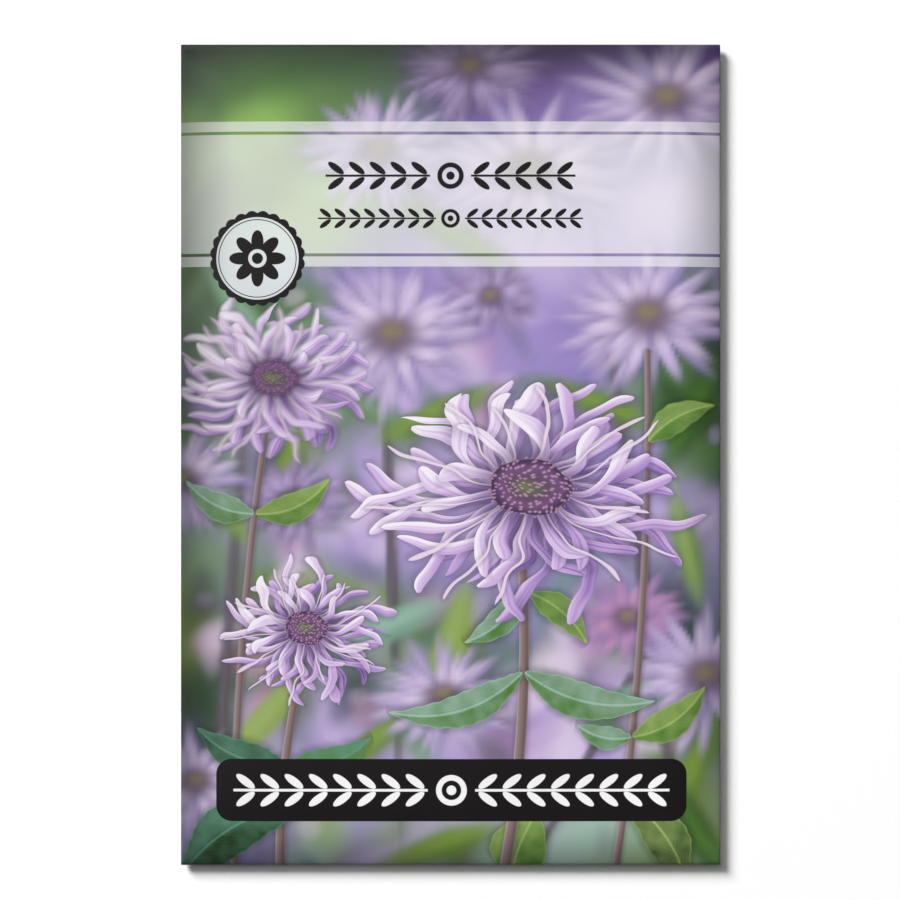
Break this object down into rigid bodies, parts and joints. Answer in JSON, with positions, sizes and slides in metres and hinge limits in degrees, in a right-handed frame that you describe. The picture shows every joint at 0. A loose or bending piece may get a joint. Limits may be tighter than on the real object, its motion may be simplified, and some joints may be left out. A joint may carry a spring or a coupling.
{
  "type": "seed packet",
  "caption": "Sealed flat paper seed packet, folded from one sheet with a side seam and glued end flaps, holding a small heap of loose flower seeds.",
  "frame": {"origin": "on the surface that the packet lies on, under the middle of the packet", "axes": "+Z out of the printed front, +Y towards the packet's top edge, +X towards its right edge"},
  "size_m": [0.0824, 0.1256, 0.0036],
  "materials": {
    "printed_paper": "satin coated paper, printed",
    "glue": "dried adhesive, slightly yellow",
    "seeds": "dry brown seed coat"
  },
  "bodies": {
    "root": {"envelope": "printed_paper", "seam_glue": "glue", "top_flap_glue": "glue", "bottom_flap_glue": "glue", "seeds": "seeds"}
  },
  "joints": []
}
